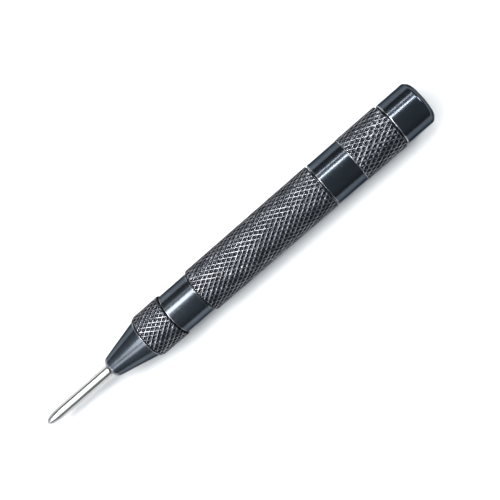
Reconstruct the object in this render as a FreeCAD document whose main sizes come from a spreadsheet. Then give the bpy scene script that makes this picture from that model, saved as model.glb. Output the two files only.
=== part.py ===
import FreeCAD, Part
import Sketcher
import math
import os

# Automatic center punch, in millimetres. Stations are distances from the tip of the point along the
# tool's axis. The tool lies along X with its point towards -X and rests on the plane Z = 0.

SIZES = {
    # Whole tool
    "overall_length": 127.0,
    "grip_radius": 6.4,
    "edge_break": 0.4,
    "small_break": 0.3,
    "seam_break": 0.22,
    # Replaceable point
    "tip_cone_length": 1.2,
    "tip_cone_radius": 1.1,
    "tip_taper_end": 4.7,
    "point_radius": 1.5,
    "point_full_end": 22.7,
    "point_relieved_radius": 1.3,
    "tang_radius": 1.1,
    "tang_end": 35.0,
    # Nose sleeve
    "nose_front": 23.0,
    "nose_bore_radius": 1.55,
    "nose_front_radius": 2.78,
    "nose_corner_radius": 1.4,
    "nose_cone_end": 36.1,
    "nose_cone_end_radius": 5.76,
    "nose_knurl_start": 36.7,
    "nose_knurl_radius": 6.3,
    "nose_rear": 45.05,
    "spring_room_front": 30.0,
    "spring_room_radius": 3.3,
    "nose_thread_front": 38.2,
    "nose_thread_bore": 4.75,
    # Drive stem
    "collar_front": 30.05,
    "collar_rear": 34.0,
    "collar_radius": 3.2,
    "tang_socket_radius": 1.15,
    "tang_socket_end": 35.4,
    "stem_radius": 1.6,
    "stem_shoulder": 45.0,
    "trip_pin_radius": 1.1,
    "trip_pin_end": 57.9,
    # Barrel
    "barrel_front": 38.4,
    "front_thread_radius": 4.7,
    "thread_relief_radius": 4.4,
    "thread_relief_front": 44.4,
    "neck_radius": 5.88,
    "neck_end": 54.65,
    "grip_chamfer": 0.35,
    "barrel_shoulder": 95.15,
    "rear_thread_front": 96.0,
    "rear_thread_radius": 5.0,
    "rear_relief_radius": 4.6,
    "barrel_rear": 108.0,
    "guide_front": 50.0,
    "guide_rear": 53.0,
    "guide_bore_radius": 1.65,
    "hammer_bore_radius": 4.15,
    "relief_bore_radius": 5.2,
    "relief_front": 56.5,
    "relief_rear": 62.0,
    "trip_taper_end": 71.0,
    # Hammer and its cross slot
    "hammer_front": 53.05,
    "hammer_rear": 75.0,
    "hammer_radius": 4.1,
    "hammer_spigot_end": 78.0,
    "spigot_radius": 2.7,
    "pin_bore_radius": 1.2,
    "pin_bore_end": 69.0,
    "slot_front": 57.95,
    "slot_rear": 62.05,
    "slot_width": 4.6,
    "spring_groove_width": 2.5,
    "spring_groove_step": 67.5,
    "spring_groove_rear": 73.0,
    "spring_groove_deep": 2.0,
    "spring_groove_shallow": 3.35,
    # Trip block
    "block_front": 58.0,
    "block_length": 4.0,
    "block_width": 4.5,
    "block_crown_radius": 4.05,
    "block_foot": 3.25,
    "block_offset": 1.05,
    # Flat trip spring and its pin
    "leaf_front": 58.6,
    "leaf_bend_front": 62.0,
    "leaf_bend_rear": 67.0,
    "leaf_rear": 72.6,
    "leaf_thickness": 0.35,
    "leaf_width": 2.2,
    "leaf_root_depth": 3.4,
    "leaf_tip_depth": 2.25,
    "leaf_pin_station": 70.5,
    "leaf_pin_radius": 0.5,
    "leaf_pin_hole_radius": 0.52,
    "leaf_pin_top_depth": 2.1,
    "leaf_pin_head_radius": 0.85,
    "leaf_pin_head_thickness": 0.28,
    # Springs
    "return_wire_radius": 0.3,
    "return_coil_radius": 2.5,
    "return_turns": 7.4,
    "impact_wire_radius": 0.5,
    "impact_coil_radius": 3.35,
    "impact_turns": 14.5,
    # Spring seat
    "seat_spigot_front": 117.0,
    "seat_front": 119.0,
    "seat_rear": 120.95,
    "seat_radius": 4.1,
    # Adjusting cap
    "cap_front": 95.45,
    "skirt_radius": 6.27,
    "skirt_end": 104.95,
    "cap_knurl_start": 105.1,
    "cap_knurl_end": 117.05,
    "cap_groove_front": 117.25,
    "cap_groove_rear": 117.5,
    "cap_groove_radius": 5.85,
    "cap_end_start": 117.8,
    "cap_end_radius": 6.1,
    "cap_end_chamfer": 1.1,
    "cap_thread_bore": 5.05,
    "cap_thread_end": 109.2,
    "seat_bore_radius": 4.2,
    "cap_inner_end": 121.0,
}

doc = FreeCAD.newDocument("center_punch")
sheet = doc.addObject("Spreadsheet::Sheet", "Sizes")
for row, (alias, size) in enumerate(SIZES.items(), 1):
    sheet.set("A%d" % row, alias.replace("_", " "))
    sheet.set("B%d" % row, str(size))
    sheet.setAlias("B%d" % row, alias)
doc.recompute()


def bound(expression):
    """The expression with the sheet's name before each of its sizes. Words are parted by spaces."""
    words = [str(word) for word in str(expression).split()]
    return " ".join("Sizes." + word if word in SIZES else word for word in words)


def amount(expression):
    """What the expression is worth now, in millimetres."""
    return float(sheet.evalExpression(bound(expression)))


def place(piece, start, height="grip_radius"):
    """Puts a piece with its own zero at a station, on the axis or at another height over the floor."""
    piece.setExpression("Placement.Base.x", bound("%s - overall_length / 2" % start))
    piece.setExpression("Placement.Base.z", bound(height))


def origin_plane(body, role):
    return [plane for plane in body.Origin.OriginFeatures if plane.Role == role][0]


def new_sketch(body, name, role):
    sketch = body.newObject("Sketcher::SketchObject", name)
    sketch.AttachmentSupport = [(origin_plane(body, role), "")]
    sketch.MapMode = "FlatFace"
    return sketch


def hold(sketch, kind, references, name, expression):
    """Adds a dimension to the sketch and drives it from the sheet."""
    index = sketch.addConstraint(Sketcher.Constraint(kind, *references, amount(expression)))
    sketch.renameConstraint(index, name)
    sketch.setExpression("Constraints." + name, bound(expression))


def closed_outline(sketch, corners):
    """A closed outline of straight lines. Each corner is two expressions, across and up."""
    spots = [FreeCAD.Vector(amount(across), amount(up), 0) for across, up in corners]
    count = len(spots)
    for i in range(count):
        sketch.addGeometry(Part.LineSegment(spots[i], spots[(i + 1) % count]))
    for i in range(count):
        sketch.addConstraint(Sketcher.Constraint("Coincident", i, 2, (i + 1) % count, 1))
    for i, (across, up) in enumerate(corners):
        hold_corner(sketch, i, "DistanceX", -2, "across%d" % i, across)
        hold_corner(sketch, i, "DistanceY", -1, "up%d" % i, up)


def hold_corner(sketch, i, kind, axis, name, expression):
    """Holds the first end of line i at a distance from the sketch's zero, on either side of it."""
    value = amount(expression)
    if abs(value) < 1e-9:
        sketch.addConstraint(Sketcher.Constraint("PointOnObject", i, 1, axis))
    elif value > 0:
        hold(sketch, kind, (-1, 1, i, 1), name, expression)
    else:
        hold(sketch, kind, (i, 1, -1, 1), name, "0 - ( %s )" % expression)


def turned_body(name, start, outline):
    """A piece turned about the tool's axis, from (station, radius) corners, set at its own start."""
    body = doc.addObject("PartDesign::Body", name)
    sketch = new_sketch(body, name + "_outline", "XZ_Plane")
    corners = [("%s - %s" % (station, start), radius) for station, radius in outline]
    closed_outline(sketch, corners)
    doc.recompute()
    turning = body.newObject("PartDesign::Revolution", name + "_turning")
    turning.Profile = sketch
    turning.ReferenceAxis = (sketch, ["H_Axis"])
    turning.Angle = 360
    doc.recompute()
    place(body, start)
    return body


def pocket(body, name, sketch, depth):
    """Cuts the sketch downwards out of the body and checks that it took material away."""
    before = body.Shape.Volume
    doc.recompute()
    cut = body.newObject("PartDesign::Pocket", name)
    cut.Profile = sketch
    cut.setExpression("Length", bound(depth))
    doc.recompute()
    if body.Shape.Volume > before - 0.05:
        raise ValueError(name + " cuts nothing")
    return cut


def slot_outline(sketch, front, rear, width):
    """A rectangle along the tool's axis."""
    half = "( %s ) / 2" % width
    minus_half = "0 - ( %s ) / 2" % width
    closed_outline(sketch, [(front, minus_half), (rear, minus_half), (rear, half), (front, half)])


def wire_spring(name, front, rear, wire, coil, turns):
    """A compression spring of round wire that fills the room between two stations."""
    run = "%s - %s - 2 * %s" % (rear, front, wire)
    helix = doc.addObject("Part::Helix", name + "_helix")
    helix.setExpression("Radius", bound(coil))
    helix.setExpression("Height", bound(run))
    helix.setExpression("Pitch", bound("( %s ) / %s" % (run, turns)))
    section = doc.addObject("Part::Circle", name + "_wire")
    section.setExpression("Radius", bound(wire))
    section.setExpression("Placement.Base.x", bound(coil))
    section.Placement.Rotation = FreeCAD.Rotation(FreeCAD.Vector(1, 0, 0), 90)
    doc.recompute()
    spring = doc.addObject("Part::Sweep", name)
    spring.Sections = [section]
    spring.Spine = (helix, [])
    spring.Solid = True
    spring.Frenet = True
    doc.recompute()
    spring.Placement.Rotation = FreeCAD.Rotation(FreeCAD.Vector(0, 1, 0), 90)
    place(spring, "%s + %s" % (front, wire))
    return spring


def make_punch_point():
    return turned_body("punch_point", "0", [
        ("0", "0"),
        ("tip_cone_length", "tip_cone_radius"),
        ("tip_taper_end", "point_radius"),
        ("point_full_end", "point_radius"),
        ("point_full_end", "point_relieved_radius"),
        ("collar_front - small_break", "point_relieved_radius"),
        ("collar_front", "point_relieved_radius - small_break"),
        ("collar_front", "tang_radius"),
        ("tang_end - small_break", "tang_radius"),
        ("tang_end", "tang_radius - small_break"),
        ("tang_end", "0"),
    ])


def make_drive_stem():
    return turned_body("drive_stem", "collar_front", [
        ("collar_front", "tang_socket_radius"),
        ("collar_front", "collar_radius - small_break"),
        ("collar_front + small_break", "collar_radius"),
        ("collar_rear - small_break", "collar_radius"),
        ("collar_rear", "collar_radius - small_break"),
        ("collar_rear", "stem_radius"),
        ("stem_shoulder", "stem_radius"),
        ("stem_shoulder", "trip_pin_radius"),
        ("trip_pin_end - small_break", "trip_pin_radius"),
        ("trip_pin_end", "trip_pin_radius - small_break"),
        ("trip_pin_end", "0"),
        ("tang_socket_end", "0"),
        ("tang_socket_end", "tang_socket_radius"),
    ])


def make_nose_sleeve():
    sleeve = turned_body("nose_sleeve", "nose_front", [
        ("nose_front", "nose_bore_radius"),
        ("nose_front", "nose_front_radius"),
        ("nose_cone_end", "nose_cone_end_radius"),
        ("nose_knurl_start", "nose_knurl_radius"),
        ("nose_rear - seam_break", "nose_knurl_radius"),
        ("nose_rear", "nose_knurl_radius - seam_break"),
        ("nose_rear", "nose_thread_bore"),
        ("nose_thread_front", "nose_thread_bore"),
        ("nose_thread_front", "spring_room_radius"),
        ("spring_room_front", "spring_room_radius"),
        ("spring_room_front", "nose_bore_radius"),
    ])
    radius = amount("nose_front_radius")
    corner = [
        "Edge%d" % i
        for i, edge in enumerate(sleeve.Shape.Edges, 1)
        if isinstance(edge.Curve, Part.Circle) and abs(edge.Curve.Radius - radius) < 1e-4
    ]
    turned = sleeve.Tip
    rounding = sleeve.newObject("PartDesign::Fillet", "nose_front_rounding")
    rounding.Base = (turned, corner)
    rounding.setExpression("Radius", bound("nose_corner_radius"))
    return sleeve


def make_barrel():
    return turned_body("barrel", "barrel_front", [
        ("barrel_front", "spring_room_radius"),
        ("barrel_front", "front_thread_radius - small_break"),
        ("barrel_front + small_break", "front_thread_radius"),
        ("thread_relief_front", "front_thread_radius"),
        ("thread_relief_front", "thread_relief_radius"),
        ("nose_rear", "thread_relief_radius"),
        ("nose_rear", "neck_radius - seam_break"),
        ("nose_rear + seam_break", "neck_radius"),
        ("neck_end", "neck_radius"),
        ("neck_end", "grip_radius - grip_chamfer"),
        ("neck_end + grip_chamfer", "grip_radius"),
        ("barrel_shoulder - seam_break", "grip_radius"),
        ("barrel_shoulder", "grip_radius - seam_break"),
        ("barrel_shoulder", "rear_relief_radius"),
        ("rear_thread_front", "rear_relief_radius"),
        ("rear_thread_front", "rear_thread_radius"),
        ("barrel_rear - edge_break", "rear_thread_radius"),
        ("barrel_rear", "rear_thread_radius - edge_break"),
        ("barrel_rear", "hammer_bore_radius"),
        ("trip_taper_end", "hammer_bore_radius"),
        ("relief_rear", "relief_bore_radius"),
        ("relief_front", "relief_bore_radius"),
        ("relief_front", "hammer_bore_radius"),
        ("guide_rear", "hammer_bore_radius"),
        ("guide_rear", "guide_bore_radius"),
        ("guide_front", "guide_bore_radius"),
        ("guide_front", "spring_room_radius"),
    ])


def make_hammer():
    hammer = turned_body("hammer", "hammer_front", [
        ("hammer_front", "pin_bore_radius"),
        ("hammer_front", "hammer_radius - small_break"),
        ("hammer_front + small_break", "hammer_radius"),
        ("hammer_rear - small_break", "hammer_radius"),
        ("hammer_rear", "hammer_radius - small_break"),
        ("hammer_rear", "spigot_radius"),
        ("hammer_spigot_end - small_break", "spigot_radius"),
        ("hammer_spigot_end", "spigot_radius - small_break"),
        ("hammer_spigot_end", "0"),
        ("pin_bore_end", "0"),
        ("pin_bore_end", "pin_bore_radius"),
    ])
    cuts = (
        ("cross_slot", "slot_front", "slot_rear", "slot_width", "0 - hammer_radius - 1"),
        ("leaf_room", "slot_rear", "spring_groove_step", "spring_groove_width", "spring_groove_deep"),
        ("leaf_groove", "spring_groove_step", "spring_groove_rear", "spring_groove_width",
         "spring_groove_shallow"),
    )
    for name, front, rear, width, level in cuts:
        sketch = new_sketch(hammer, name + "_outline", "XY_Plane")
        sketch.setExpression("AttachmentOffset.Base.z", bound("0 - ( %s )" % level))
        slot_outline(sketch, front + " - hammer_front", rear + " - hammer_front", width)
        pocket(hammer, name, sketch, "hammer_radius + 1 - ( %s )" % level)
    hole = new_sketch(hammer, "leaf_pin_hole_outline", "XY_Plane")
    hole.setExpression("AttachmentOffset.Base.z", bound("0 - leaf_pin_top_depth + small_break"))
    round_outline(hole, "leaf_pin_station - hammer_front", "leaf_pin_hole_radius")
    pocket(hammer, "leaf_pin_hole", hole, "hammer_radius")
    return hammer


def round_outline(sketch, across, radius):
    """A circle on the sketch's first axis."""
    middle = FreeCAD.Vector(amount(across), 0, 0)
    sketch.addGeometry(Part.Circle(middle, FreeCAD.Vector(0, 0, 1), amount(radius)))
    sketch.addConstraint(Sketcher.Constraint("PointOnObject", 0, 3, -1))
    hold(sketch, "DistanceX", (-1, 1, 0, 3), "middle", across)
    hold(sketch, "Radius", (0,), "radius", radius)


def make_trip_block():
    block = doc.addObject("PartDesign::Body", "trip_block")
    sketch = new_sketch(block, "trip_block_outline", "YZ_Plane")
    half = amount("block_width / 2")
    foot = -amount("block_foot")
    crown = amount("block_crown_radius")
    lean = math.asin(half / crown)
    shoulder = crown * math.cos(lean)
    spots = [
        FreeCAD.Vector(half, shoulder, 0),
        FreeCAD.Vector(half, foot, 0),
        FreeCAD.Vector(-half, foot, 0),
        FreeCAD.Vector(-half, shoulder, 0),
    ]
    for i in range(3):
        sketch.addGeometry(Part.LineSegment(spots[i], spots[i + 1]))
    middle = FreeCAD.Vector(0, 0, 0)
    up = FreeCAD.Vector(0, 0, 1)
    arc = Part.ArcOfCircle(
        Part.Circle(middle, up, crown), math.pi / 2 - lean, math.pi / 2 + lean
    )
    sketch.addGeometry(arc)
    sketch.addGeometry(Part.Circle(middle, up, amount("pin_bore_radius")))
    for joined in ((0, 2, 1, 1), (1, 2, 2, 1), (2, 2, 3, 2), (3, 1, 0, 1), (3, 3, -1, 1), (4, 3, -1, 1)):
        sketch.addConstraint(Sketcher.Constraint("Coincident", *joined))
    sketch.addConstraint(Sketcher.Constraint("Vertical", 0))
    sketch.addConstraint(Sketcher.Constraint("Vertical", 2))
    sketch.addConstraint(Sketcher.Constraint("Symmetric", 1, 1, 1, 2, -2))
    hold(sketch, "DistanceX", (1, 2, 1, 1), "width", "block_width")
    hold(sketch, "DistanceY", (1, 1, -1, 1), "foot", "block_foot")
    hold(sketch, "Radius", (3,), "crown", "block_crown_radius")
    hold(sketch, "Radius", (4,), "hole", "pin_bore_radius")
    doc.recompute()
    pad = block.newObject("PartDesign::Pad", "trip_block_length")
    pad.Profile = sketch
    pad.setExpression("Length", bound("block_length"))
    place(block, "block_front", "grip_radius + block_offset")
    return block


def make_trip_spring():
    leaf = doc.addObject("PartDesign::Body", "trip_spring")
    sketch = new_sketch(leaf, "trip_spring_outline", "XZ_Plane")
    upper = [
        ("leaf_rear", "leaf_root_depth"),
        ("leaf_bend_rear", "leaf_root_depth"),
        ("leaf_bend_front", "leaf_tip_depth"),
        ("leaf_front", "leaf_tip_depth"),
    ]
    corners = [(x + " - leaf_front", "0 - " + depth) for x, depth in upper]
    corners += [(x + " - leaf_front", "0 - " + depth + " - leaf_thickness") for x, depth in upper[::-1]]
    closed_outline(sketch, corners)
    doc.recompute()
    strip = leaf.newObject("PartDesign::Pad", "trip_spring_width")
    strip.Profile = sketch
    strip.Midplane = True
    strip.setExpression("Length", bound("leaf_width"))
    doc.recompute()
    hole = new_sketch(leaf, "trip_spring_hole_outline", "XY_Plane")
    round_outline(hole, "leaf_pin_station - leaf_front", "leaf_pin_hole_radius")
    pocket(leaf, "trip_spring_hole", hole, "hammer_radius")
    place(leaf, "leaf_front")
    return leaf


def make_trip_spring_pin():
    shank = doc.addObject("Part::Cylinder", "trip_spring_pin_shank")
    shank.setExpression("Radius", bound("leaf_pin_radius"))
    shank.setExpression("Height", bound("leaf_root_depth + leaf_thickness - leaf_pin_top_depth"))
    head = doc.addObject("Part::Cylinder", "trip_spring_pin_head")
    head.setExpression("Radius", bound("leaf_pin_head_radius"))
    head.setExpression("Height", bound("leaf_pin_head_thickness"))
    head.setExpression("Placement.Base.z", bound("0 - leaf_pin_head_thickness"))
    pin = doc.addObject("Part::MultiFuse", "trip_spring_pin")
    pin.Shapes = [shank, head]
    place(pin, "leaf_pin_station", "grip_radius - leaf_root_depth - leaf_thickness")
    return pin


def make_return_spring():
    return wire_spring("return_spring", "collar_rear", "guide_front", "return_wire_radius",
                       "return_coil_radius", "return_turns")


def make_impact_spring():
    return wire_spring("impact_spring", "hammer_rear", "seat_front", "impact_wire_radius",
                       "impact_coil_radius", "impact_turns")


def make_spring_seat():
    return turned_body("spring_seat", "seat_spigot_front", [
        ("seat_spigot_front", "0"),
        ("seat_spigot_front", "spigot_radius - small_break"),
        ("seat_spigot_front + small_break", "spigot_radius"),
        ("seat_front", "spigot_radius"),
        ("seat_front", "seat_radius"),
        ("seat_rear", "seat_radius"),
        ("seat_rear", "0"),
    ])


def make_adjusting_cap():
    return turned_body("adjusting_cap", "cap_front", [
        ("cap_front", "cap_thread_bore"),
        ("cap_front", "skirt_radius - seam_break"),
        ("cap_front + seam_break", "skirt_radius"),
        ("skirt_end", "skirt_radius"),
        ("cap_knurl_start", "grip_radius"),
        ("cap_knurl_end", "grip_radius"),
        ("cap_groove_front", "cap_end_radius"),
        ("cap_groove_front", "cap_groove_radius"),
        ("cap_groove_rear", "cap_groove_radius"),
        ("cap_end_start", "cap_end_radius"),
        ("overall_length - cap_end_chamfer", "cap_end_radius"),
        ("overall_length", "cap_end_radius - cap_end_chamfer"),
        ("overall_length", "0"),
        ("cap_inner_end", "0"),
        ("cap_inner_end", "seat_bore_radius"),
        ("cap_thread_end", "seat_bore_radius"),
        ("cap_thread_end", "cap_thread_bore"),
    ])


pieces = [
    make_punch_point(),
    make_drive_stem(),
    make_nose_sleeve(),
    make_return_spring(),
    make_barrel(),
    make_hammer(),
    make_trip_block(),
    make_trip_spring(),
    make_trip_spring_pin(),
    make_impact_spring(),
    make_spring_seat(),
    make_adjusting_cap(),
]
doc.recompute()

for item in doc.Objects:
    if "Invalid" in item.State or "Error" in item.State:
        raise ValueError(item.Name + " did not rebuild")
for piece in pieces:
    if piece.Shape.isNull() or not piece.Shape.isValid() or not piece.Shape.Solids:
        raise ValueError(piece.Label + " is not a sound solid")

os.makedirs("parts", exist_ok=True)
for piece in pieces:
    piece.Shape.exportStep("parts/%s.step" % piece.Label)
    print(piece.Label, round(piece.Shape.Volume, 1), piece.Shape.BoundBox)
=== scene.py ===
import math

import bmesh
import bpy
import numpy as np
from mathutils import Matrix, Vector


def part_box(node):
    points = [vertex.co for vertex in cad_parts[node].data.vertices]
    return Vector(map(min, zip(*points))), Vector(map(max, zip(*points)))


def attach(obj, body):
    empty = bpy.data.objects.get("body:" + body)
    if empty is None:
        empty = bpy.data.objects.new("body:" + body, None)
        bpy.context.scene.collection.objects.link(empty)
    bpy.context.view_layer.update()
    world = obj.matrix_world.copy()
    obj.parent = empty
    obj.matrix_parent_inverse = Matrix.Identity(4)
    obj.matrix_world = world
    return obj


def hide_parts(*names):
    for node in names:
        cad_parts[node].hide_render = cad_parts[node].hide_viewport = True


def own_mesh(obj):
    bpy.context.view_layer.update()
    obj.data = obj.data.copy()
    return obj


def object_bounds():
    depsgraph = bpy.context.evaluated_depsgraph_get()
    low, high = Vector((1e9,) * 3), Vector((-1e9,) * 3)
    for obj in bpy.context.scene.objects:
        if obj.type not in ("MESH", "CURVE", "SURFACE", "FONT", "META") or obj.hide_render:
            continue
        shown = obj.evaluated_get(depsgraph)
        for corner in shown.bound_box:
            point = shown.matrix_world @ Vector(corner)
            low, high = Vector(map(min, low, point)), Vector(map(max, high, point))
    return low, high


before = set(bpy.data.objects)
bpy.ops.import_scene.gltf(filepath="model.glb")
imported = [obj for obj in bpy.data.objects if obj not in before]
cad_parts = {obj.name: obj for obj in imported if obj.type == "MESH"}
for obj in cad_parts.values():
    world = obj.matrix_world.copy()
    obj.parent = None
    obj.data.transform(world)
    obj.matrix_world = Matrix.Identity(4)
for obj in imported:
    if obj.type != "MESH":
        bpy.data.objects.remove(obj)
cad_low, cad_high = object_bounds()

MM = 0.001
AXIS_HEIGHT = (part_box("adjusting_cap")[0].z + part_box("adjusting_cap")[1].z) / 2 / MM
TIP = cad_low.x / MM  # row X of the point's tip; stations below are millimetres from it
FULL_TURN = 2 * math.pi
TINY = 1e-6  # a radius or a length under this counts as none
SAME_PLACE = 1e-4  # millimetres within which two places count as one

PLAIN_SHARP = 34  # degrees between two faces from which the edge is drawn sharp
KNURL_SHARP = 50

# ---------------------------------------------------------------- mesh making


class Shell:
    """Vertices, faces, and for each face a material number; for each vertex how worn it is."""

    def __init__(self):
        self.verts = np.zeros((0, 3))
        self.faces = []
        self.material = []
        self.wear = np.zeros(0)

    def add(self, verts, faces, material=0, wear=0.0):
        start = len(self.verts)
        self.verts = np.vstack([self.verts, verts])
        self.faces += [tuple(start + i for i in f) for f in faces]
        self.material += [material] * len(faces)
        self.wear = np.concatenate([self.wear, np.broadcast_to(wear, len(verts))])

    def build(self, name, materials, sharp):
        """An object in the row frame, in metres."""
        verts = self.verts + np.array([TIP, 0, AXIS_HEIGHT])
        mesh = bpy.data.meshes.new(name)
        mesh.from_pydata((verts * MM).tolist(), [], self.faces)
        for m in materials:
            mesh.materials.append(m)
        mesh.polygons.foreach_set("material_index", self.material)
        attribute = mesh.attributes.new("wear", "FLOAT", "POINT")
        attribute.data.foreach_set("value", self.wear.astype(np.float32))
        mesh.validate()
        mesh.update()
        bm = bmesh.new()
        bm.from_mesh(mesh)
        bmesh.ops.recalc_face_normals(bm, faces=bm.faces[:])
        bm.to_mesh(mesh)
        bm.free()
        mesh.shade_smooth()
        mesh.set_sharp_from_angle(angle=math.radians(sharp))
        obj = bpy.data.objects.new(name, mesh)
        bpy.context.collection.objects.link(obj)
        return obj


def soften(outline, rounding):
    """A closed outline with a small arc at each corner off the axis. Returns points and how worn each is.

    A corner is (station, radius), or (station, radius, its own rounding).
    """
    steps = 3
    worn_under = 0.25  # outer corners rounded by less than this are worn bright
    worn_most, worn_least = 1.0, 0.6  # inside an arc and at its ends
    longest_share = 0.45  # an arc takes no more than this share of either side
    corners = [corner[:2] for corner in outline]
    following = corners[1:] + corners[:1]
    area = sum(a[0] * b[1] - b[0] * a[1] for a, b in zip(corners, following))
    points, wear = [], []
    for i, (x, r, *own) in enumerate(outline):
        here = Vector((x, r))
        before = Vector(corners[i - 1]) - here
        after = Vector(following[i]) - here
        if r < TINY or before.length < TINY or after.length < TINY:
            points.append((x, r))
            wear.append(0.0)
            continue
        wanted = own[0] if own else rounding
        reach = min(wanted, longest_share * before.length, longest_share * after.length)
        a = here + before.normalized() * reach
        b = here + after.normalized() * reach
        turn = before.x * after.y - before.y * after.x
        wears = turn * area < 0 and wanted < worn_under
        for k in range(steps + 1):
            t = k / steps
            p = a * (1 - t) ** 2 + here * 2 * t * (1 - t) + b * t ** 2
            points.append((p.x, p.y))
            worn = worn_most if 0 < k < steps else worn_least
            wear.append(worn if wears else 0.0)
    return points, wear


def braced(points, wear):
    """The outline with an unworn point near both ends of each long side, so that its shading stays even."""
    reach = 0.06
    long_side = 0.6
    out, worn = [], []
    for i, (x, r) in enumerate(points):
        out.append((x, r))
        worn.append(wear[i])
        nx, nr = points[(i + 1) % len(points)]
        length = math.hypot(nx - x, nr - r)
        if length > long_side and max(r, nr) > TINY:
            for share in (reach / length, 1 - reach / length):
                out.append((x + (nx - x) * share, r + (nr - r) * share))
                worn.append(0.0)
    return out, worn


def lathe(shell, outline, material=0, segments=144, rounding=0.07):
    """Turns a closed outline about the axis. The outline's corners are as in soften."""
    points, wear = braced(*soften(outline, rounding))
    angles = np.arange(segments) * FULL_TURN / segments
    verts, rings, worn = [], [], []
    for (x, r), w in zip(points, wear):
        if r < TINY:
            ring = [(x, 0.0, 0.0)]
        else:
            ring = [(x, r * math.sin(a), r * math.cos(a)) for a in angles]
        rings.append(range(len(verts), len(verts) + len(ring)))
        verts += ring
        worn += [w] * len(ring)
    faces = []
    for one, other in zip(rings, rings[1:] + rings[:1]):
        if len(one) == 1 and len(other) == 1:
            continue
        for k in range(segments):
            n = (k + 1) % segments
            if len(one) == 1:
                faces.append((one[0], other[n], other[k]))
            elif len(other) == 1:
                faces.append((one[k], one[n], other[0]))
            else:
                faces.append((one[k], one[n], other[n], other[k]))
    shell.add(np.array(verts), faces, material, np.array(worn))


def arc(station, height, radius, start, end):
    """Points of an arc in the outline's plane, from one angle to another in degrees."""
    steps = 8
    angles = [math.radians(start + (end - start) * k / steps) for k in range(steps + 1)]
    return [(station + radius * math.cos(a), height + radius * math.sin(a)) for a in angles]


def trimmed(flat, cuts, low, high):
    """Trims a flat sheet of (station, angle) to a band and one turn, and adds vertices along the cuts."""
    def slice_at(point, normal, clear):
        geometry = flat.verts[:] + flat.edges[:] + flat.faces[:]
        bmesh.ops.bisect_plane(
            flat, geom=geometry, dist=TINY, plane_co=point, plane_no=normal, clear_outer=clear
        )

    slice_at((low, 0, 0), (-1, 0, 0), True)
    slice_at((high, 0, 0), (1, 0, 0), True)
    slice_at((0, 0, 0), (0, -1, 0), True)
    slice_at((0, FULL_TURN, 0), (0, 1, 0), True)
    for cut in cuts:
        slice_at((cut, 0, 0), (1, 0, 0), False)


def wrapped(flat, low, high, radius_at, core):
    """Wraps the flat sheet round the axis, closes its seam and folds both ends down to the core."""
    for v in flat.verts:
        x, a = v.co.x, v.co.y
        r = radius_at(x, a)
        v.co = (x, r * math.sin(a), r * math.cos(a))
    bmesh.ops.remove_doubles(flat, verts=flat.verts[:], dist=SAME_PLACE)
    for end in (low, high):
        rim = [
            e for e in flat.edges
            if e.is_boundary and all(abs(v.co.x - end) < SAME_PLACE for v in e.verts)
        ]
        made = bmesh.ops.extrude_edge_only(flat, edges=rim)
        for v in made["geom"]:
            if isinstance(v, bmesh.types.BMVert):
                r = math.hypot(v.co.y, v.co.z)
                v.co.y *= core / r
                v.co.z *= core / r
    flat.verts.index_update()
    verts = np.array([v.co for v in flat.verts])
    faces = [tuple(v.index for v in f.verts) for f in flat.faces]
    flat.free()
    return verts, faces


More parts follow.
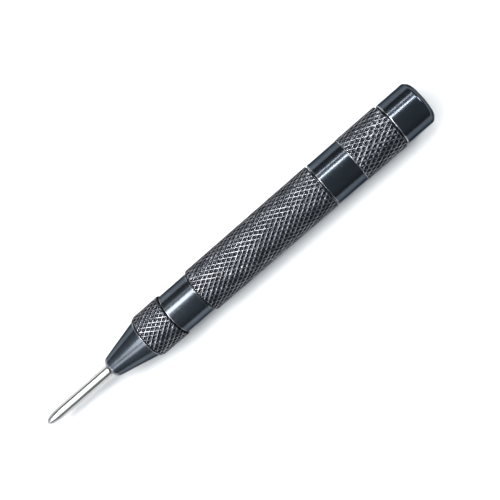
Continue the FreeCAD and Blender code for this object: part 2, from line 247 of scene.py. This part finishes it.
def knurl(shell, low, high, radius, depth, starts, pitch, chamfers, core, material):
    """A diamond knurl: two crossing families of helical ridges with a pit in each diamond between them.

    Each chamfer, front and rear, is (its length, its drop). The sheet is laid out in u and v, which count the
    ridges of either family, and a ridge's middle is where u or v is whole.
    """
    crest = 0.05  # a crest's half width, as a share of the way to the next ridge
    pit = 0.36  # where the pit's floor begins, in the same share
    across = [0.0, crest, 2 * crest, pit, 1 - pit, 1 - 2 * crest, 1 - crest]
    knots = [0.0, crest, 2 * crest, pit, 0.5]
    v_drop = [0.0, 0.01, 0.13, 1.0, 1.0]
    u_drop = [0.02, 0.03, 0.15, 1.0, 1.0]  # the first family stands a little lower
    spread = 0.012  # how uneven the ridges are, and how far they stay under the full radius
    draws = 4096
    worn_from, worn_over = 0.17 * depth, 0.12 * depth  # under the full radius, and from there up
    chamfer_cuts = 4
    lines = len(across)
    flat = bmesh.new()
    known = {}

    def vert(i, j):
        if (i, j) not in known:
            u = i // lines + across[i % lines]
            v = j // lines + across[j % lines]
            known[i, j] = flat.verts.new((low + (u - v) * pitch / 2, (u + v) * math.pi / starts, 0))
        return known[i, j]

    def fill_diamond(u, v):
        for a in range(lines):
            for b in range(lines):
                i, j = u * lines + a, v * lines + b
                corners = [vert(i, j), vert(i + 1, j), vert(i + 1, j + 1), vert(i, j + 1)]
                if (a < lines / 2) == (b < lines / 2):
                    flat.faces.new((corners[0], corners[1], corners[2]))
                    flat.faces.new((corners[0], corners[2], corners[3]))
                else:
                    flat.faces.new((corners[0], corners[1], corners[3]))
                    flat.faces.new((corners[1], corners[2], corners[3]))

    reach = int(math.ceil(2 * (high - low) / pitch)) + 1
    for total in range(-2, 2 * starts + 1):
        for along in range(-2, reach + 1):
            if (total + along) % 2 == 0:
                fill_diamond((total + along) // 2, (total - along) // 2)

    front, rear = chamfers
    steps = range(1, chamfer_cuts + 1)
    cuts = [low + front[0] * k / chamfer_cuts for k in steps]
    cuts += [high - rear[0] * k / chamfer_cuts for k in steps]
    trimmed(flat, cuts, low, high)
    rng = np.random.default_rng(int(1000 * low))  # each band has its own fixed seed
    ripple = rng.normal(0, spread, (2, draws))

    def radius_at(x, a):
        u = a * starts / FULL_TURN + (x - low) / pitch
        v = a * starts / FULL_TURN - (x - low) / pitch
        du = abs(u - round(u))
        dv = abs(v - round(v))
        uneven = ripple[0, int(round(u)) % starts] + ripple[1, int(round(v)) % starts]
        drop = min(np.interp(du, knots, u_drop), np.interp(dv, knots, v_drop))
        r = radius - spread - depth * drop + 0.5 * uneven * (1 - drop)
        r = min(r, radius)
        r = min(r, radius - front[1] * max(0.0, 1 - (x - low) / front[0]))
        return min(r, radius - rear[1] * max(0.0, 1 - (high - x) / rear[0]))

    verts, faces = wrapped(flat, low, high, radius_at, core)
    height = np.hypot(verts[:, 1], verts[:, 2])
    wear = np.clip((height - (radius - worn_from)) / worn_over, 0, 1)
    shell.add(verts, faces, material, wear)


def thread(shell, low, high, crest_radius, root_radius, pitch, lead, core):
    """A single right-hand V thread with flat crests and roots. The lead is the taper at its rear end."""
    across = [0.0, 0.10, 0.45, 0.62]  # where the crest, a flank, the root and the other flank begin
    level = ([*across, 1.0], [1.0, 1.0, 0.0, 0.0, 1.0])
    worn_depth = 0.06
    most_worn = 0.8
    segments = 72
    lead_cuts = 3
    lines = len(across)
    flat = bmesh.new()
    known = {}

    def vert(i, k):
        if (i, k) not in known:
            u = i // lines + across[i % lines]
            turn = k / segments
            known[i, k] = flat.verts.new((low + (u - turn) * pitch, turn * FULL_TURN, 0))
        return known[i, k]

    for i in range(-lines, lines * (int((high - low) / pitch) + 3)):
        for k in range(segments):
            flat.faces.new((vert(i, k), vert(i + 1, k), vert(i + 1, k + 1), vert(i, k + 1)))
    trimmed(flat, [high - lead * k / lead_cuts for k in range(1, lead_cuts + 1)], low, high)

    def radius_at(x, a):
        u = (x - low) / pitch + a / FULL_TURN
        r = root_radius + (crest_radius - root_radius) * np.interp(u % 1.0, *level)
        return min(r, crest_radius - (crest_radius - root_radius) * max(0.0, 1 - (high - x) / lead))

    verts, faces = wrapped(flat, low, high, radius_at, core)
    height = np.hypot(verts[:, 1], verts[:, 2])
    wear = np.clip((height - crest_radius + worn_depth) / worn_depth, 0, 1) * most_worn
    shell.add(verts, faces, wear=wear)


def coil(shell, front, rear, wire, middle, turns):
    """A compression spring with its end coils closed and ground flat. The wire's size is its radius."""
    around, per_turn = 12, 28
    closed = 0.98  # how far a closed coil climbs, as a share of the wire's thickness
    ground_off = 0.02
    count = int(turns * per_turn)
    run = (rear - front - 2 * wire) - 4 * wire * closed
    free = turns - 2
    verts = []
    for k in range(count + 1):
        n = k / per_turn
        x = front + wire + 2 * wire * min(n, 1) * closed
        x += run * min(max((n - 1) / free, 0), 1)
        x += 2 * wire * max(n - (turns - 1), 0) * closed
        a = n * FULL_TURN
        for m in range(around):
            b = m * FULL_TURN / around
            r = middle + wire * math.cos(b)
            verts.append((
                min(max(x + wire * math.sin(b), front + ground_off), rear - ground_off),
                r * math.sin(a),
                r * math.cos(a),
            ))
    rings = [range(k * around, (k + 1) * around) for k in range(count + 1)]
    faces = []
    for one, other in zip(rings, rings[1:]):
        for m in range(around):
            n = (m + 1) % around
            faces.append((one[m], one[n], other[n], other[m]))
    faces.append(tuple(rings[0]))
    faces.append(tuple(reversed(rings[-1])))
    shell.add(np.array(verts), faces)


# ---------------------------------------------------------------- materials


class Nodes:
    """A short way to write a node tree."""

    COLOUR_A, COLOUR_B, COLOUR_RESULT = 6, 7, 2  # sockets of the mix node when it mixes colours

    def __init__(self, name):
        self.material = bpy.data.materials.new(name)
        self.material.use_nodes = True
        self.tree = self.material.node_tree
        self.shader = self.tree.nodes["Principled BSDF"]

    def node(self, kind, **settings):
        made = self.tree.nodes.new(kind)
        for key, value in settings.items():
            if hasattr(made, key):
                setattr(made, key, value)
            else:
                self.put(value, made.inputs[key.replace("_", " ")])
        return made

    def put(self, value, socket):
        if isinstance(value, bpy.types.NodeSocket):
            self.tree.links.new(value, socket)
        else:
            socket.default_value = value

    def millimetres(self, stretch):
        """Object coordinates in millimetres, stretched."""
        where = self.node("ShaderNodeTexCoord").outputs["Object"]
        made = self.node("ShaderNodeMapping")
        self.put(where, made.inputs["Vector"])
        made.inputs["Scale"].default_value = [1000 * s for s in stretch]
        return made.outputs["Vector"]

    def noise(self, stretch, detail, rough=0.55):
        """Noise in 0..1, with about so many waves to the millimetre along each axis."""
        made = self.node("ShaderNodeTexNoise", Detail=detail, Roughness=rough, Scale=1.0)
        self.put(self.millimetres(stretch), made.inputs["Vector"])
        return made.outputs["Fac"]

    def span(self, value, low, high, to_low=0.0, to_high=1.0):
        """value from low..high to to_low..to_high, kept in that range."""
        made = self.node("ShaderNodeMapRange")
        self.put(value, made.inputs["Value"])
        for socket, number in zip(("From Min", "From Max", "To Min", "To Max"), (low, high, to_low, to_high)):
            made.inputs[socket].default_value = number
        return made.outputs["Result"]

    def maths(self, operation, a, b):
        made = self.node("ShaderNodeMath", operation=operation)
        self.put(a, made.inputs[0])
        self.put(b, made.inputs[1])
        return made.outputs[0]

    def mix(self, share, a, b):
        made = self.node("ShaderNodeMix", data_type="RGBA")
        self.put(share, made.inputs["Factor"])
        self.put(a, made.inputs[self.COLOUR_A])
        self.put(b, made.inputs[self.COLOUR_B])
        return made.outputs[self.COLOUR_RESULT]

    def attribute(self, name):
        return self.node("ShaderNodeAttribute", attribute_name=name).outputs["Fac"]

    def bump(self, height, depth, under=None):
        """A bump from 0..1 that is so many millimetres deep, over another bump if there is one."""
        made = self.node("ShaderNodeBump", Strength=1.0, Distance=depth * MM)
        self.put(height, made.inputs["Height"])
        if under is not None:
            self.put(under, made.inputs["Normal"])
        return made.outputs["Normal"]

    def steel(self, colour, rough, edge_tint, normal):
        """Sets the shader to metal. The edge tint darkens it where it is seen at a low angle."""
        self.put(colour, self.shader.inputs["Base Color"])
        self.shader.inputs["Metallic"].default_value = 1.0
        self.put(rough, self.shader.inputs["Roughness"])
        self.shader.inputs["Specular Tint"].default_value = (edge_tint, edge_tint, edge_tint, 1)
        self.put(normal, self.shader.inputs["Normal"])
        return self.material


def blued(name, oxide, roughness, edge_tint, marks, bare):
    """Blackened steel, with turning marks round the axis, specks, and bare metal on worn edges.

    oxide is its colour, marks the depth of the turning marks, and bare how light the bare metal is.
    """
    n = Nodes(name)
    patches = n.span(n.noise((0.13, 0.20, 0.20), 3), 0.3, 0.7, 0.86, 1.14)
    tint = n.node("ShaderNodeVectorMath", operation="SCALE")
    tint.inputs[0].default_value = oxide
    n.put(patches, tint.inputs["Scale"])
    grain = n.noise((1.6, 1.6, 1.6), 4, 0.6)
    edge = n.maths("MULTIPLY", n.attribute("wear"), n.span(grain, 0.38, 0.62, 0.3, 1.0))
    specks = n.span(n.noise((1.1, 1.4, 1.4), 2, 0.4), 0.745, 0.775)
    share = n.maths("MAXIMUM", edge, n.maths("MULTIPLY", specks, 0.3))
    colour = n.mix(share, tint.outputs[0], (bare, bare, bare * 1.04, 1))
    turning = n.noise((5.0, 0.10, 0.10), 4, 0.65)
    scratches = n.noise((3.2, 0.55, 0.55), 3, 0.6)
    rough = n.span(turning, 0.3, 0.7, roughness - 0.03, roughness + 0.04)
    normal = n.bump(turning, marks, n.bump(scratches, marks * 0.8))
    return n.steel(colour, rough, edge_tint, normal)


def bright(name, dark, light, roughness, marks, edge_tint=1.0):
    """Bare, ground or plated steel, with patches between a dark and a light colour."""
    n = Nodes(name)
    patches = n.span(n.noise((0.2, 0.4, 0.4), 4), 0.35, 0.65)
    colour = n.mix(patches, (*dark, 1), (*light, 1))
    turning = n.noise((7.0, 0.15, 0.15), 4, 0.7)
    rough = n.span(turning, 0.3, 0.7, roughness - 0.04, roughness + 0.06)
    return n.steel(colour, rough, edge_tint, n.bump(turning, marks))


satin = blued(
    "blued_satin", oxide=(0.090, 0.101, 0.117), roughness=0.20, edge_tint=0.26, marks=0.0003, bare=0.50
)
turned = blued(
    "blued_turned", oxide=(0.070, 0.081, 0.096), roughness=0.18, edge_tint=0.28, marks=0.0004, bare=0.50
)
ridged = blued(
    "blued_knurl", oxide=(0.030, 0.033, 0.041), roughness=0.22, edge_tint=0.32, marks=0.0005, bare=0.46
)
plated = bright(
    "plated_point", dark=(0.58, 0.565, 0.54), light=(0.66, 0.645, 0.62), roughness=0.12, marks=0.0005,
    edge_tint=0.0,
)
honed = bright(
    "honed_tip", dark=(0.50, 0.49, 0.47), light=(0.60, 0.59, 0.57), roughness=0.20, marks=0.0030,
    edge_tint=0.0,
)
ground = bright(
    "ground_steel", dark=(0.36, 0.36, 0.37), light=(0.50, 0.50, 0.51), roughness=0.24, marks=0.002
)
wire_steel = bright(
    "spring_steel", dark=(0.20, 0.205, 0.22), light=(0.32, 0.325, 0.34), roughness=0.30, marks=0.001
)

# ---------------------------------------------------------------- outer pieces


def place(shell, name, materials, body, node, sharp=PLAIN_SHARP):
    """Builds the shell, hangs it on the body it rides and hides the CAD node it stands for."""
    obj = shell.build(name, materials, sharp)
    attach(obj, body)
    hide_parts(node)
    return obj


def make_point():
    """The bright point: a honed cone, a plain shank, and a thinner end that screws into the stem."""
    shank, relieved, screwed = 1.5, 1.3, 1.1
    cone_end, end = 4.7, 35.0
    shell = Shell()
    cone = [
        (0.0, 0.0), (0.3, 0.32), (0.75, 0.74), (1.2, 1.03), (1.9, 1.2), (2.8, 1.34), (3.8, 1.43),
        (cone_end, 1.47), (cone_end, 0.0),
    ]
    lathe(shell, cone, segments=96, rounding=0.03, material=1)
    body = [
        (4.68, 0.0), (4.68, 1.44), (4.78, shank), (22.7, shank), (22.8, relieved), (29.75, relieved),
        (30.05, screwed), (34.7, screwed), (end, 0.8), (end, 0.0),
    ]
    lathe(shell, body, segments=96, rounding=0.05)
    place(shell, "punch_point_detail", [plated, honed], "stem", "punch_point")


def make_nose():
    """The conical nose with a rounded mouth, a bead behind the cone, and the front knurled band."""
    mouth, end = 23.0, 45.05
    point_bore, spring_bore, barrel_bore = 1.55, 3.3, 4.75
    shell = Shell()
    lathe(shell, [
        (mouth, point_bore), *arc(24.4, 1.66, 1.4, 180, 103), (35.88, 5.70), (35.94, 6.0), (36.18, 6.06),
        (36.26, 5.85), (44.85, 5.82), (end, 5.75), (end, barrel_bore), (38.2, barrel_bore),
        (38.2, spring_bore), (30.0, spring_bore), (30.0, point_bore),
    ], rounding=0.05)
    knurl(
        shell, 36.2, end, radius=6.3, depth=0.27, starts=30, pitch=1.96,
        chamfers=((0.45, 0.38), (0.22, 0.22)), core=5.6, material=1,
    )
    place(
        shell, "nose_sleeve_detail", [satin, ridged],
        "housing", "nose_sleeve", KNURL_SHARP,
    )


def make_barrel():
    """The barrel: a front spigot, the smooth neck, a seam, the knurled grip and a threaded rear spigot."""
    front, neck_front, grip_front, spigot_front, end = 38.4, 45.32, 54.65, 96.0, 108.0
    neck, seam, grip_bed, spigot = 5.88, 5.72, 5.95, 4.5
    spring_bore, pin_bore, hammer_bore, trip_bore = 3.3, 1.65, 4.15, 5.2
    shell = Shell()
    lathe(shell, [
        (front, spring_bore), (front, 4.4), (38.7, 4.7), (44.4, 4.7), (44.4, 4.4), (45.1, 4.4), (45.14, 5.7),
        (neck_front, neck, 0.2), (54.40, neck), (54.46, seam), (54.62, seam), (54.75, grip_bed),
        (95.05, grip_bed), (95.20, neck), (95.36, neck), (95.36, 4.6), (spigot_front, 4.6), (96.05, spigot),
        (107.6, spigot), (end, 4.45), (end, hammer_bore), (71.0, hammer_bore), (62.0, trip_bore),
        (56.5, trip_bore), (56.5, hammer_bore), (53.0, hammer_bore), (53.0, pin_bore), (50.0, pin_bore),
        (50.0, spring_bore),
    ])
    knurl(
        shell, grip_front, 95.15, radius=6.4, depth=0.28, starts=31, pitch=2.1,
        chamfers=((0.35, 0.33), (0.22, 0.22)), core=5.7, material=1,
    )
    thread(shell, spigot_front, end, crest_radius=4.98, root_radius=4.56, pitch=0.8, lead=0.5, core=4.3)
    place(shell, "barrel_detail", [satin, ridged], "housing", "barrel", KNURL_SHARP)


def make_cap():
    """The rear cap: a smooth skirt, a bead, a knurled band, a groove and a plain end."""
    front, band_front, band_end, end = 95.45, 105.08, 117.2, 127.0
    skirt, bead, band_bed, groove, plain_end = 6.27, 6.39, 5.9, 5.72, 6.1
    thread_bore, spring_bore = 5.05, 4.2
    shell = Shell()
    lathe(shell, [
        (front, thread_bore), (front, 6.05), (95.67, skirt), (104.86, skirt), (104.92, bead),
        (band_front, bead), (105.14, band_bed), (117.15, band_bed), (band_end, groove), (117.55, groove),
        (117.85, plain_end, 0.2), (125.9, plain_end, 0.3), (end, 5.0, 0.5), (end, 0.0), (121.0, 0.0),
        (121.0, spring_bore), (109.2, spring_bore), (109.2, thread_bore),
    ])
    knurl(
        shell, band_front, band_end, radius=6.4, depth=0.30, starts=30, pitch=2.33,
        chamfers=((0.08, 0.04), (0.10, 0.12)), core=5.6, material=1,
    )
    place(
        shell, "adjusting_cap_detail", [turned, ridged],
        "cap", "adjusting_cap", KNURL_SHARP,
    )


make_point()
make_nose()
make_barrel()
make_cap()

# ---------------------------------------------------------------- inner pieces

ALONG = (1, 0, 0)


def make_impact_spring():
    """The strong spring behind the hammer. Its rear end stays on the spring seat."""
    front, rear = 75.0, 119.0
    shell = Shell()
    coil(shell, front, rear, wire=0.5, middle=3.35, turns=14.5)
    obj = place(shell, "impact_spring_wire", [wire_steel], "seat", "impact_spring")
    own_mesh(obj)


def make_return_spring():
    """The light spring that pushes the stem out. Its front end stays on the stem's collar."""
    front, rear = 34.0, 50.0
    shell = Shell()
    coil(shell, front, rear, wire=0.3, middle=2.5, turns=8.0)
    obj = place(shell, "return_spring_wire", [wire_steel], "stem", "return_spring")
    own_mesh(obj)


def make_leaf():
    """The flat trip spring, drawn in one fixed shape that rides with the striker. The real leaf flattens
    towards the hammer's outside as the block presses on it.
    """
    half_width, thickness = 1.1, 0.35
    upper = [(58.6, -2.25), (62.0, -2.25), (67.0, -3.4), (72.6, -3.4)]
    rim = upper + [(x, z - thickness) for x, z in reversed(upper)]
    count = len(rim)
    sides = [tuple(range(count)), tuple(reversed(range(count, 2 * count)))]
    edges = [(k, k + count, (k + 1) % count + count, (k + 1) % count) for k in range(count)]
    shell = Shell()
    shell.add(np.array([(x, y, z) for y in (-half_width, half_width) for x, z in rim]), sides + edges)
    obj = place(shell, "trip_spring_leaf", [wire_steel], "striker", "trip_spring")
    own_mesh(obj)


make_impact_spring()
make_return_spring()
make_leaf()

for node in ("drive_stem", "hammer", "trip_block", "trip_spring_pin", "spring_seat"):
    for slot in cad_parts[node].material_slots:
        slot.material = ground

# ---------------------------------------------------------------- stage, lights and camera


def make_floor():
    """A pale sheet of paper under the tool."""
    half = 1.5
    paper = Nodes("pale_floor")
    colour = paper.mix(paper.noise((0.01, 0.01, 0.01), 2), (0.84, 0.84, 0.845, 1), (0.87, 0.87, 0.87, 1))
    paper.put(colour, paper.shader.inputs["Base Color"])
    paper.shader.inputs["Roughness"].default_value = 0.6
    mesh = bpy.data.meshes.new("floor")
    corners = [(-half, -half, 0), (half, -half, 0), (half, half, 0), (-half, half, 0)]
    mesh.from_pydata(corners, [], [(0, 1, 2, 3)])
    mesh.materials.append(paper.material)
    floor = bpy.data.objects.new("floor", mesh)
    bpy.context.collection.objects.link(floor)


def make_world():
    """A bluish room: dimmer towards the horizon and brighter towards -X, where the point is."""
    world = bpy.data.worlds.new("studio")
    bpy.context.scene.world = world
    world.use_nodes = True
    tree = world.node_tree
    split = tree.nodes.new("ShaderNodeSeparateXYZ")
    tree.links.new(tree.nodes.new("ShaderNodeTexCoord").outputs["Generated"], split.inputs[0])
    strength = tree.nodes.new("ShaderNodeMath")
    strength.operation = "MULTIPLY"
    ramps = (("Z", 0.10, 0.65, 0.15, 0.32), ("X", -0.85, -0.35, 2.4, 1.0))
    for socket, (axis, start, end, low, high) in zip(strength.inputs, ramps):
        ramp = tree.nodes.new("ShaderNodeMapRange")
        for name, number in (("From Min", start), ("From Max", end), ("To Min", low), ("To Max", high)):
            ramp.inputs[name].default_value = number
        tree.links.new(split.outputs[axis], ramp.inputs["Value"])
        tree.links.new(ramp.outputs["Result"], socket)
    background = tree.nodes["Background"]
    background.inputs["Color"].default_value = (0.80, 0.92, 1.0, 1)
    tree.links.new(strength.outputs[0], background.inputs["Strength"])


def aim_at(obj, eye, target, roll=0.0):
    """Puts a light or camera at eye, looking at target, with its own X as near to the tool's as it can be."""
    toward = (Vector(target) - Vector(eye)).normalized()
    along = Vector(ALONG)
    along = (along - toward * along.dot(toward)).normalized()
    aside = along.cross(toward)
    right = along * math.cos(roll) - aside * math.sin(roll)
    up = along * math.sin(roll) + aside * math.cos(roll)
    obj.matrix_world = Matrix((right, up, -toward)).transposed().to_4x4()
    obj.matrix_world.translation = eye


def soft_light(name, eye, target, length, width, radiance):
    """A flat soft light, with its long side as near to the tool's axis as its aim allows. Sizes in metres."""
    light = bpy.data.lights.new(name, "AREA")
    light.shape = "RECTANGLE"
    light.size = length
    light.size_y = width
    light.energy = radiance * math.pi * length * width
    obj = bpy.data.objects.new(name, light)
    bpy.context.collection.objects.link(obj)
    aim_at(obj, eye, target)


def strip(name, lean, start, end, width, radiance):
    """A light along the tool from one X to another, leaning so many degrees from straight above to +Y."""
    distance = 0.62
    a = math.radians(lean)
    middle = (start + end) / 2
    base = AXIS_HEIGHT * MM
    eye = (middle, math.sin(a) * distance, base + math.cos(a) * distance)
    soft_light(name, eye, (middle, 0, base), end - start, width, radiance)


def make_lights():
    """Strips that draw the long highlights, and windows that fill the ends."""
    strip("wide_key", 25, -0.36, -0.04, width=0.20, radiance=11)
    strip("narrow_key", 31, -0.02, 0.24, width=0.040, radiance=33)
    strip("side_line", 52, -0.02, 0.24, width=0.030, radiance=14)
    strip("side_line_front", 50, -0.36, -0.02, width=0.09, radiance=1.6)
    strip("point_panel", 2, -0.46, -0.27, width=0.80, radiance=1.6)
    soft_light("front_window", (-0.46, -0.15, 0.45), (-0.034, 0, 0.006), 0.30, 0.15, radiance=3.4)
    soft_light("left_key", (-0.36, 0.11, 0.56), (0.0, 0, 0.0), 0.28, 0.22, radiance=9)
    soft_light("rear_fill", (0.62, 0.13, 0.58), (0.0, 0, 0.0), 0.36, 0.26, radiance=13)


def make_camera():
    """The photograph's view: from over the tool's rear half, looking down and a little forward."""
    eye_station, aim_station = 95.5, 71.0
    aside, distance = -0.37, 195
    lens, sensor, nearest = 55.9, 36, 0.01
    roll = math.radians(40.9)  # the tool slants across the picture
    data = bpy.data.cameras.new("camera")
    data.lens = lens
    data.sensor_width = sensor
    data.clip_start = nearest
    camera = bpy.data.objects.new("camera", data)
    bpy.context.collection.objects.link(camera)
    eye = Vector(((TIP + eye_station) * MM, aside * MM, (AXIS_HEIGHT + distance) * MM))
    target = Vector(((TIP + aim_station) * MM, aside * MM, AXIS_HEIGHT * MM))
    aim_at(camera, eye, target, roll)
    bpy.context.scene.camera = camera
    bpy.context.scene.view_settings.view_transform = "Standard"


make_floor()
make_world()
make_lights()
make_camera()
